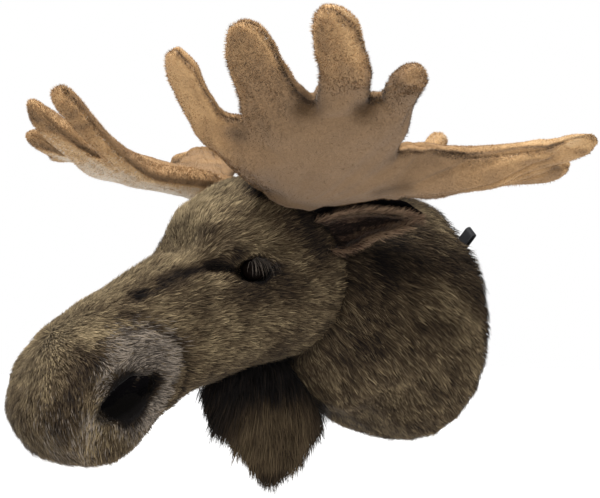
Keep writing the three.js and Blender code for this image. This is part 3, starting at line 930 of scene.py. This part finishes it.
# ---------------------------------------------------------------------------
# The antlers: two panels of short plush of one outline, sewn together along the
# edge, turned and stuffed. The lower panel is taupe, the upper one golden, and the
# plush is dark brown at the seam and where the tines part. Painted shade darkens
# the wrinkle creases, and the right antler's underside is painted pale cream, as
# light catches its nap.
ANTLER_TUFTS = 150000
ANTLER_VOXEL = 0.0042
ANTLER_ROOT = np.array([0.062, -0.262])
PALM_MIDDLE = (0.19, -0.27)
ANTLER_POSE = {
    "left": {
        "turn": 0, "reach": 1, "front_twist": 0, "rear_twist": 0, "rear_lift": 0, "arch": 0, "slack": 0.0002,
    },
    "right": {
        "turn": 9, "reach": 0.98, "front_twist": -0.01, "rear_twist": -0.012, "rear_lift": 0.055,
        "arch": 0.01, "slack": 0.0035,
    },
}
TINE_ROOTS = [(0.14, -0.39, 0.197), (0.222, -0.364, 0.216), (0.262, -0.318, 0.216)]
THIRD_TINE = (0.329, -0.412, 0.289)
FOURTH_TINE = (0.335, -0.333, 0.238)
KNOB = [(0.077, -0.301, 0.152), (0.077, -0.286, 0.142), (0.086, -0.257, 0.135), (0.108, -0.23, 0.137)]
# Shades on the underside of the left antler, then what packing left: folds and pinched flanks
# of its tines in mm, and how the tines of both are bent. A bend gives its way in mm, the face it
# acts on and its spots.
UNDERSIDE = [
    (0.11, 40, (120, -380, 200), (135, -460, 270)),
    (0.08, 30, (285, -375, 245)),
    # These two rows: painted shadow, a streak under the antler next to the ear and a shaded fold beside it.
    (-0.13, 11, (165, -205, 148), (190, -186, 153)),
    (-0.12, 9, (212, -226, 178)),
    (-0.16, 13, (290, -45, 178)),
    (0.09, 28, (200, -168, 156), (235, -150, 165)),
    (-0.13, 20, (353, -66, 189)),
]
FOLDS = [
    (3, 40, (306, -385, 250)),
    (-3, 30, (200, -390, 225), (235, -445, 283)),
    (-1.2, 25, (140, -410, 210), (138, -461, 273)),
    (-1.5, 25, (357, -72, 190)),
    (-2, 30, (280, -60, 170)),
]
FLANKS = [
    (1, 14, (142, -432, 251), (133, -403, 230)),
    (1, 18, (240, -411, 268), (234, -396, 251)),
    (0.5, 14, (189, -437, 253), (175, -419, 232)),
    (1, 16, (327, -403, 290)),
    (-0.9, 20, (99, -402, 197)),
    (-0.8, 14, (296, -349, 242), (309, -362, 253)),
    (-1.2, 12, (291, -341, 246), (275.6, -322.7, 236.3)),
    (-1.1, 12, (227, -388, 254), (219, -372, 242)),
    (0.9, 15, (197, -450, 279), (189, -445, 267)),
]
ANTLER_BENDS = {
    "left_palm": [
        ((0, 0, 1), "all", (3, 35, (329, -412, 289)), (10, 22, (214, -198, 195))),
        ((0, 0, 5), "all", (1, 14, (222.5, -362, 231))),
        ((-3, -4, 3), "all", (1, 14, (278, -307, 230), (315, -330, 238))),
        ((0, 0, 4), "all", (1, 18, (345, -317, 233), (265, -256, 207))),
        ((0, 0, -5), "all", (1, 40, (335, -333, 238))),
    ],
    "left_rear": [
        ((0, 0, -3.5), "all", (1, 20, (255, -140, 197), (325, -90, 199))),
        ((0, 0, -6), "all", (1, 25, (200, -170, 155), (250, -110, 160))),
        ((0, 0, 1), "all", (4, 30, (279, -60, 165)), (5, 20, (293, -38, 168))),
        ((2, 0, 0), "all", (1, 20, (300, -34, 180))),
        ((0, 0, 12), "under", (1, 17, (333, -73, 185), (358, -66, 187))),
        ((-3, -3, 0), "all", (1, 18, (345, -318, 240))),
    ],
    "left_tips": [
        ((-1.5, -1.8, 4.5), "all", (1, 16, (306, -416, 292))),
        ((0, 0, -3.5), "all", (1, 20, (178, -130, 147), (210, -105, 156))),
    ],
    "right": [
        ((-4, 0, 0), "all", (1, 25, (-69, -432, 238), (-68, -350, 190))),
        ((-6, 0, 0), "all", (1, 30, (-85, -466, 265))),
        ((-4, 0, 3), "all", (1, 30, (-160, -462, 259))),
        ((4, 0, 4), "all", (1, 30, (-240, -430, 236))),
        ((0, 0, 12), "below", (1, 30, (-150, -305, 170), (-141, -285, 163), (-125, -262, 158))),
        ((0, 0, -4.5), "all",
         (1, 22, (-80, -430, 255), (-79, -405, 231), (-74, -370, 205), (-100, -320, 205))),
        ((0, 0, -3.5), "below",
         (1, 25, (-313, -348, 225), (-227, -378, 210), (-187, -383, 199), (-163, -380, 189))),
        ((-4, -5, 1), "all", (1, 25, (-100, -468, 279), (-103, -466, 263))),
        ((-2, -2, 3), "all", (1, 20, (-183, -463, 276))),
        ((0, 0, -4), "all", (1, 15, (-168, -450, 273), (-152, -440, 258))),
        ((0, 0, -7), "all", (1, 40, (-347, -130, 263), (-290, -135, 265), (-280, -110, 266))),
        ((-5, -6, 0), "all", (1, 30, (-347, -131, 263))),
    ],
}
PLUSH_SHADES = [
    (0.0, (0.03, 0.017, 0.009)),
    (0.15, (0.09, 0.052, 0.025)),
    (0.3, (0.2, 0.126, 0.07)),
    (0.42, (0.29, 0.18, 0.095)),
    (0.55, (0.41, 0.25, 0.12)),
    (0.7, (0.57, 0.36, 0.175)),
    (0.85, (0.73, 0.52, 0.3)),
    # The pale top stops serve mostly the right antler's underside, painted pale where light catches its nap.
    (0.93, (0.73, 0.63, 0.51)),
    (1.0, (0.82, 0.76, 0.68)),
]


def on_left(points, side):
    """The same places on the left antler before it was turned and drawn in."""
    pose = ANTLER_POSE[side]
    flat = points.copy()
    if side == "right":
        flat[:, 0] *= -1
    turn = math.radians(pose["turn"])
    x, y = flat[:, 0] - ANTLER_ROOT[0], flat[:, 1] - ANTLER_ROOT[1]
    flat[:, 0] = ANTLER_ROOT[0] + (x * math.cos(turn) - y * math.sin(turn)) / pose["reach"]
    flat[:, 1] = ANTLER_ROOT[1] + (x * math.sin(turn) + y * math.cos(turn)) / pose["reach"]
    return flat


def bowl_height(flat, side):
    """The height of the sheet midway between the panels."""
    pose = ANTLER_POSE[side]
    out = (flat[:, 0] - ANTLER_ROOT[0]) / 0.1
    front = (ANTLER_ROOT[1] - flat[:, 1]) / 0.1
    ahead, outer = np.maximum(front, 0), np.maximum(out - 0.5, 0)
    height = 0.16 - 0.011 * out + 0.0195 * front + 0.038 * out**2 - 0.004 * out * front
    height += -0.004 * front**2 + 0.012 * ahead**3 - 0.009 * out**3 + 0.0013 * out**2 * ahead
    sag = pose["front_twist"] * outer * front
    rise = -front * (pose["rear_lift"] + pose["rear_twist"] * outer)
    arch = pose["arch"] * np.exp(-(((front - 0.35) / 0.45) ** 2))
    return height + np.where(front > 0, sag, rise) + arch


def above_seam(points, side):
    """How far each place is above the sheet midway between the panels, the same place on the left
    antler, and the way up from the sheet."""
    flat = on_left(points, side)
    height = bowl_height(flat, side)
    step = 0.001
    slope_x = (bowl_height(flat + (step, 0, 0), side) - height) / step
    slope_y = (bowl_height(flat + (0, step, 0), side) - height) / step
    steep = np.sqrt(1 + slope_x**2 + slope_y**2)
    up = np.stack([-slope_x, -slope_y, np.ones(len(flat))], axis=1) / steep[:, None]
    return (flat[:, 2] - height) / steep, flat, up


def facing_of(normals, up, side):
    """How much each normal points the way the sheet faces: 1 on the upper face, -1 on the lower."""
    return (normals * ((-1, 1, 1) if side == "right" else (1, 1, 1)) * up).sum(axis=1)


def tine_roots(flat, radius):
    """1 at each place where two tines part."""
    return sum(near_to(flat, spot, radius) for spot in TINE_ROOTS)


def rear_share(flat):
    """1 on the rear tine, 0 on the rest."""
    return smooth_step(-0.3, -0.22, flat[:, 1]) * smooth_step(0.17, 0.22, flat[:, 0])


def seam_height(flat, side):
    """How high the seam runs on the rolled edge: low along the rear tine, high on the fourth."""
    if side == "right":
        return -0.008 + 0.008 * near_line(flat, [(0.13, -0.4, 0.2), (0.135, -0.47, 0.27)], 0.035)
    first = near_to(flat, (0.135, -0.45, 0.26), 0.05)
    root = near_line(flat, [(0.212, -0.203, 0.19), (0.23, -0.188, 0.186)], 0.018)
    fourth = near_to(flat, FOURTH_TINE, 0.035)
    return 0.001 - 0.0055 * rear_share(flat) - 0.003 * first + 0.02 * fourth + 0.006 * root


def fringe_share(over, rim, flat, side):
    """1 in the curly, rubbed strip under the seam, which is wide along the rear tine."""
    rear = rear_share(flat) * (side == "left")
    middle = seam_height(flat, side) - 0.004 - 0.002 * rear
    return np.exp(-(((over - middle) / (0.004 + 0.002 * rear)) ** 2)) * rim


def wrinkles(flat, across, along, seed):
    """Noise drawn out along lines from the antler's root, with the bearing and the reach of each place."""
    bearing = np.arctan2(flat[:, 1] - ANTLER_ROOT[1], flat[:, 0] - ANTLER_ROOT[0])
    reach = np.linalg.norm(flat[:, :2] - ANTLER_ROOT, axis=1)
    waves = soft_noise(np.stack([bearing * across, reach * along, 0 * reach], axis=1), 1.0, seed) - 0.5
    return waves, bearing, reach


def crease_depth(flat):
    """Wrinkles that run out along the rear tines, as a depth from 0 to 1."""
    waves, bearing, reach = wrinkles(flat, 16, 11, 98)
    outwards = smooth_step(0.15, 0.6, bearing) * smooth_step(0.11, 0.2, reach)
    return smooth_step(0.14, 0.0, np.abs(waves)) * outwards


def antler_tone(points, normals, side):
    """Taupe below, but painted pale cream on the right antler where light catches its nap; golden above and
    along the edge, brown at the seam and between the tines, with painted shade in the wrinkle creases.
    """
    over, flat, up = above_seam(points, side)
    level = np.abs(facing_of(normals, up, side))
    rim = smooth_step(0.88, 0.5, level)
    near_edge = smooth_step(0.985, 0.75, level)
    tip = smooth_step(0.1, 0.2, np.linalg.norm(flat[:, :2] - PALM_MIDDLE, axis=1))
    cloud = soft_noise(points, 0.02, 91) - 0.5
    seam_at = seam_height(flat, side)
    seam = np.exp(-(((over - seam_at) / 0.0018) ** 2)) * rim
    if side == "right":
        seam = smooth_step(0.011, 0.0, over - seam_at) * smooth_step(-0.002, 0.0, over - seam_at)
    fringe = fringe_share(over, rim, flat, side) * (1 if side == "left" else 0.2)
    spots = tine_roots(flat, 0.013)
    upper = 0.54 + 0.17 * tip + 0.16 * cloud - 0.2 * spots - 0.12 * near_to(flat, FOURTH_TINE, 0.04)
    upper -= 0.25 * sum(near_to(flat, spot, 0.022) for spot in TINE_ROOTS[1:])
    if side == "right":
        upper = 0.6 + 0.14 * tip + 0.2 * cloud - 0.06 * rim - 0.13 * smooth_step(-0.27, -0.22, flat[:, 1])
    if side == "left":
        fourth = near_to(flat, FOURTH_TINE, 0.035)
        lower = 0.33 + 0.04 * cloud - 0.26 * spots
        lower += tip * (0.22 + 0.2 * cloud + 0.22 * near_edge * (1 - fourth))
        lower = np.minimum(lower + marks(flat, UNDERSIDE) - 0.05 * fourth, 0.68)
    else:
        # The right antler's underside is the same taupe plush, painted pale cream where light catches its
        # nap, with streaks.
        streak = soft_noise(points * (0.4, 1, 1.6), 0.012, 93)
        lower = 0.93 - 0.45 * streak * tip - 0.12 * spots - 0.05 * near_edge - 0.1 * tip
    # crease_depth adds painted shade in the wrinkle creases; the knob is a little darker.
    lower -= 0.05 * near_line(flat, KNOB, 0.012) + 0.1 * crease_depth(flat)
    top = smooth_step(seam_at - 0.001, seam_at + 0.001, over)
    mixed = lower + (upper - lower) * top
    return np.clip(mixed - (0.3 * seam + 0.18 * fringe) * (0.8 + cloud), 0.02, 0.98)


plush = shade_group("plush_shades", PLUSH_SHADES, 0.76)
plush_pile = pile_material("plush_pile", plush, 0.15)
plush_cloth = cloth_material("plush_cloth", plush, (0.1, 1.0), 520, 0.12)


def tine_share(points, side):
    """0 on the palm, 1 on the tines."""
    flat = points[:, :2] * (1 if side == "left" else -1, 1)
    return smooth_step(0.08, 0.14, np.linalg.norm(flat - PALM_MIDDLE, axis=1))


def grow_tufts(name, cloth, count, seed, side):
    """The short pile of the plush: one small pointed tuft each."""
    chance = np.random.default_rng(seed)

    def share_of(first, middles, facing):
        return 0.6 + 0.8 * tine_share(first, side)

    roots, up = scatter(cloth, count, chance, share_of)
    swirl = np.stack([soft_noise(roots, 0.009, seed + k) - 0.5 for k in range(3)], axis=1)
    flow = unit(roots - np.array([0.06 if side == "left" else -0.06, -0.25, 0.1]))
    tine = tine_share(roots, side)
    over, flat, lie = above_seam(roots, side)
    if side == "left":
        tine = np.maximum(tine, near_line(flat, [(0.28, -0.303, 0.22), FOURTH_TINE], 0.03))
    level = np.abs(facing_of(up, lie, side))
    fringe = fringe_share(over, smooth_step(0.88, 0.5, level), flat, side)
    if side == "left":
        first = near_line(flat, [(0.12, -0.38, 0.2), (0.135, -0.46, 0.27)], 0.035)
        calm = np.maximum(rear_share(flat), first)
        tine *= 1 - 0.75 * calm
    curl = (0.3 + 1.2 * tine + 2.5 * fringe)[:, None]
    stand = up * (0.5 + 0.9 * tine + fringe)[:, None]
    way = unit(flow + swirl * curl + chance.normal(0, 0.45, (count, 3)) + stand)
    across = unit(unit(np.cross(up, way)) + chance.normal(0, 0.35, (count, 3)))
    half = across * (0.00036 * chance.uniform(0.7, 1.3, count))[:, None]
    long = (0.0016 + 0.001 * tine + 0.0018 * fringe) * chance.uniform(0.6, 1.25, count)
    tips = roots + way * long[:, None]
    speckle = soft_noise(roots, 0.0021, seed + 5) - 0.5
    shade = antler_tone(roots, up, side) + speckle * (0.06 + 0.34 * tine + 0.6 * fringe)
    shade += chance.normal(0, 1, count) * (0.04 + 0.04 * tine + 0.08 * fringe)
    return blades_of(name, [roots - up * 0.0005, tips], [half], shade)


def fill_out(piece, node, gap):
    """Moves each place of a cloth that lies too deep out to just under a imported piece's surface."""
    tree = tree_of(node)
    points = points_of(piece)
    nearest = np.array([tree.find_nearest(Vector(place))[0] for place in points])
    moved = nearest - points
    depth = np.linalg.norm(moved, axis=1)
    inside = (moved * normals_of(piece)).sum(axis=1) > 0
    share = np.where(inside, np.maximum(0, depth - gap) / np.maximum(depth, 1e-9), 0)
    move_points(piece, points + moved * share[:, None])


def bend_tines(points, level, bends):
    """Bends an antler where the list says. level is 1 on its upper face and -1 on the lower."""
    shares = {"all": 1, "under": level < 0.3, "below": smooth_step(0.1, -0.3, level)}
    for way, share, *rows in bends:
        points += (marks(points, rows) * shares[share])[:, None] * np.array(way) / 1000


for side in ("left", "right"):
    antler = cut_like("antler_" + side, "antler_cloth_" + side, ANTLER_VOXEL, 5)
    move_points(antler, points_of(antler) - normals_of(antler) * 0.0015)
    stuff(antler, 4, 0.004)
    fill_out(antler, "antler_" + side, ANTLER_POSE[side]["slack"])
    finish_with(antler, "SMOOTH", factor=0.5, iterations=2)
    finish_with(antler, "SUBSURF", levels=1, render_levels=1)
    points, normals = points_of(antler), normals_of(antler)
    over, flat, up = above_seam(points, side)
    level = facing_of(normals, up, side)
    rim = smooth_step(0.9, 0.5, np.abs(level))
    groove = np.exp(-(((over - seam_height(flat, side)) / 0.0025) ** 2)) * rim * 0.0025
    dimples = tine_roots(flat, 0.014) * 0.004
    waves, bearing, reach = wrinkles(flat, 9, 9, 95)
    folds = waves * 0.004 * smooth_step(0.03, 0.1, reach) - crease_depth(flat) * 0.004
    if side == "left":
        folds += marks(flat, FOLDS) / 1000 + 0.0015 * near_to(flat, THIRD_TINE, 0.04)
        folds -= 0.0025 * near_line(flat, [(0.3, -0.29, 0.215), FOURTH_TINE], 0.03)
    lumps = (soft_noise(points, 0.03, 96) - 0.5) * 0.003
    points += normals * (folds + lumps - groove - dimples - 0.001)[:, None]
    if side == "left":
        small = near_to(points, (0.157, -0.118, 0.218), 0.025)
        points += small[:, None] * (0.007, 0.014, 0.005) + normals * (0.006 * small)[:, None]
        bend_tines(points, level, ANTLER_BENDS["left_palm"])
        rear = smooth_step(-0.2, -0.15, points[:, 1]) * smooth_step(0.2, 0.25, points[:, 0])
        points[:, 2] -= 0.0035 * rear * (1 - near_to(points, (0.357, -0.072, 0.199), 0.03))
        bend_tines(points, level, ANTLER_BENDS["left_rear"])
        points -= normals * (0.0035 * marks(points, FLANKS))[:, None]
        bend_tines(points, level, ANTLER_BENDS["left_tips"])
    else:
        points[:, 0] -= 0.002 * smooth_step(-0.2, -0.3, points[:, 0])
        bend_tines(points, level, ANTLER_BENDS["right"])
    move_points(antler, points)
    set_tone(antler, antler_tone(points, normals, side))
    antler.data.materials.append(plush_cloth)
    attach(antler, "root")
    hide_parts("antler_" + side)
    tufts = grow_tufts("antler_pile_" + side, antler, ANTLER_TUFTS, 97, side)
    tufts.data.materials.append(plush_pile)
    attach(tufts, "root")
    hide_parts("antler_" + side)

# ---------------------------------------------------------------------------
# The ears: a scoop of brown pile that opens forwards, darker inside, with a
# curly tan rim, sewn to a smooth black felt back that shows along its top edge.
EAR_STRANDS = 14000
EAR_ROOT = np.array([0.084, -0.238, 0.102])
EAR_TIP = np.array([0.148, -0.104, 0.120])
EAR_SHADES = [
    (0.0, (0.012, 0.008, 0.007)),
    (0.2, (0.04, 0.024, 0.018)),
    (0.4, (0.12, 0.072, 0.048)),
    (0.6, (0.28, 0.175, 0.11)),
    (0.8, (0.46, 0.32, 0.2)),
    (1.0, (0.66, 0.5, 0.34)),
]


def ear_axes():
    """The way to the tip of the left ear, the way its scoop opens and the way up across it."""
    along = (EAR_TIP - EAR_ROOT) / np.linalg.norm(EAR_TIP - EAR_ROOT)
    open_way = np.cross(along, [0, 0, 1])
    open_way /= np.linalg.norm(open_way)
    return along, open_way, np.cross(open_way, along)


def ear_place(points):
    """How far along the ear a place is, how far out of its scoop and how high."""
    along, open_way, upwards = ear_axes()
    rel = both_sides(points) - EAR_ROOT
    return rel @ along / np.linalg.norm(EAR_TIP - EAR_ROOT), rel @ open_way, rel @ upwards


def lift_lip(points):
    """The lower lip of the scoop is pushed up, more so towards the tip, which is bent back a little."""
    part, out, high = ear_place(points)
    points[:, 2] += 0.015 * smooth_step(0.2, 0.5, part) * smooth_step(0.005, -0.014, high)
    bent = smooth_step(0.7, 1.05, part)[:, None] * ear_axes()[0] * 0.009
    points -= bent * flip_of(points)


def ear_tone(points, normals):
    """Nearly black deep in the scoop, with paler tufts, and tan along the rim and at the tip."""
    part, out, high = ear_place(points)
    rim = smooth_step(-0.007, 0.001, out)
    stripes = smooth_step(0.5, 0.62, soft_noise(np.stack([part * 3, high * 150, 0 * part], axis=1), 1.0, 101))
    tone = 0.12 + 0.32 * stripes * smooth_step(0.15, 0.4, part)
    tone += rim * (0.44 + 0.16 * smooth_step(0.3, 0.9, part)) * (0.75 + 0.5 * soft_noise(points, 0.01, 102))
    tone += 0.22 * smooth_step(0.75, 1.0, part)
    return np.clip(tone, 0.05, 0.7)


def ear_comb(points, normals):
    along, open_way, upwards = ear_axes()
    part, out, high = ear_place(points)
    way = along + upwards * (np.sign(high) * 0.6)[:, None] + open_way * 0.3
    return way * flip_of(points)


ear_shades = shade_group("ear_shades", EAR_SHADES, 0.3)
ear_pile = pile_material("ear_pile", ear_shades, 0.06)
ear_cloth = cloth_material("ear_cloth", ear_shades, (0.1, 0.5), 700, 0.02)


def ear_length(points):
    """Longer along the rim than in the scoop."""
    return 0.0065 + 0.0045 * smooth_step(-0.006, 0.001, ear_place(points)[1])


for side in ("left", "right"):
    ear = cut_like("ear_" + side, "ear_cloth_" + side, 0.0016, 4)
    points, normals = points_of(ear), normals_of(ear)
    points -= normals * 0.0012
    lift_lip(points)
    move_points(ear, points)
    set_tone(ear, ear_tone(points, normals))
    ear.data.materials.append(ear_cloth)
    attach(ear, "root")
    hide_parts("ear_" + side)
    fringe = grow_pile(
        "ear_pile_" + side, ear, EAR_STRANDS, 103, ear_length, 0.0008, ear_comb, (52, 20), ear_tone, 0.3
    )
    fringe.data.materials.append(ear_pile)
    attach(fringe, "root")
    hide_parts("ear_" + side)

    panel = cut_like("ear_back_" + side, "ear_felt_" + side, 0.0011, 3)
    points = points_of(panel)
    part, out, high = ear_place(points)
    # The top of the felt is raised to close the gap under the antler: black felt, standing partly for the
    # shadow the antler casts there.
    points[:, 2] += 0.0065 * smooth_step(0.008, 0.02, high) * smooth_step(1.02, 0.8, part)
    points[:, 2] += 0.003 * smooth_step(-0.01, -0.02, high)
    lift_lip(points)
    move_points(panel, points)
    panel.data.materials.append(felt)
    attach(panel, "root")
    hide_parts("ear_back_" + side)

# ---------------------------------------------------------------------------
# The hanging straps: black woven tape, folded into a loop that stands out past
# the rim, its two ends stapled between the neck's cloth and the board.
STRAP_WIDTH = 0.014
STRAP_THICK = 0.0018
STRAP_LOOP = 0.0038
STRAP_INNER, STRAP_START, STRAP_OUTER = 0.104, 0.012, 0.174
STRAP_OFF = 0.0012
STRAP_TURN = math.radians(47)
STRAP_SHADES = [(0.1, (0.004, 0.004, 0.005)), (0.9, (0.03, 0.03, 0.033))]

webbing, tree, shader = new_material("strap_webbing", 0.6, 0.35)
place = tree.nodes.new("ShaderNodeTexCoord")
mapping = tree.nodes.new("ShaderNodeMapping")
mapping.inputs["Rotation"].default_value = (0, STRAP_TURN, 0)
ribs = tree.nodes.new("ShaderNodeTexWave")
ribs.bands_direction = "Z"
ribs.inputs["Scale"].default_value = 260
ribs.inputs["Distortion"].default_value = 1.5
tree.links.new(place.outputs["Object"], mapping.inputs["Vector"])
tree.links.new(mapping.outputs["Vector"], ribs.inputs["Vector"])
add_ramp(tree, ribs.outputs["Fac"], STRAP_SHADES, shader.inputs["Base Color"])
add_bump(tree, shader, ribs.outputs["Fac"], 0.6, 0.0005)

bpy.ops.object.select_all(action="DESELECT")
bpy.ops.mesh.primitive_plane_add(size=STRAP_WIDTH)
strap_left = bpy.context.object
strap_left.name = strap_left.data.name = "strap_tape_left"
form = in_edit_mode(strap_left)
for vertex in form.verts:
    vertex.co.x = STRAP_INNER + (STRAP_START if vertex.co.x > 0 else 0)
    vertex.co.z = -STRAP_LOOP
    vertex.select = vertex.co.x > STRAP_INNER + STRAP_START / 2
form.select_flush(True)
turn_at = STRAP_OUTER - STRAP_LOOP - STRAP_THICK / 2
first = STRAP_INNER + STRAP_START
route = [(first + (turn_at - first) * k / 4, -STRAP_LOOP) for k in range(5)]
bends = [math.pi * k / 8 for k in range(1, 9)]
route += [(turn_at + STRAP_LOOP * math.sin(bend), -STRAP_LOOP * math.cos(bend)) for bend in bends]
route += [(turn_at + (STRAP_INNER - turn_at) * k / 5, STRAP_LOOP) for k in range(1, 6)]
for before, after in zip(route, route[1:]):
    step = (after[0] - before[0], 0, after[1] - before[1])
    bpy.ops.mesh.extrude_region_move(TRANSFORM_OT_translate={"value": step})
bpy.ops.mesh.select_all(action="SELECT")
bpy.ops.mesh.normals_make_consistent(inside=False)
bpy.ops.object.mode_set(mode="OBJECT")
finish_with(strap_left, "SOLIDIFY", thickness=STRAP_THICK, offset=0)
finish_with(strap_left, "BEVEL", width=0.0004, segments=2)
rho = Vector((math.sin(STRAP_TURN), 0, math.cos(STRAP_TURN)))
outwards = Vector((0, -1, 0))
basis = Matrix((rho, outwards.cross(rho), outwards)).transposed().to_4x4()
lift = STRAP_OFF + STRAP_LOOP + STRAP_THICK / 2 + 0.0002
strap_left.data.transform(Matrix.Translation((0, -lift, 0)) @ basis)
strap_left.data.materials.append(webbing)
strap_right = mirror_copy(strap_left, "strap_tape_right")
for piece, node in ((strap_left, "hanging_strap_left"), (strap_right, "hanging_strap_right")):
    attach(piece, "root")
    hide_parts(node)
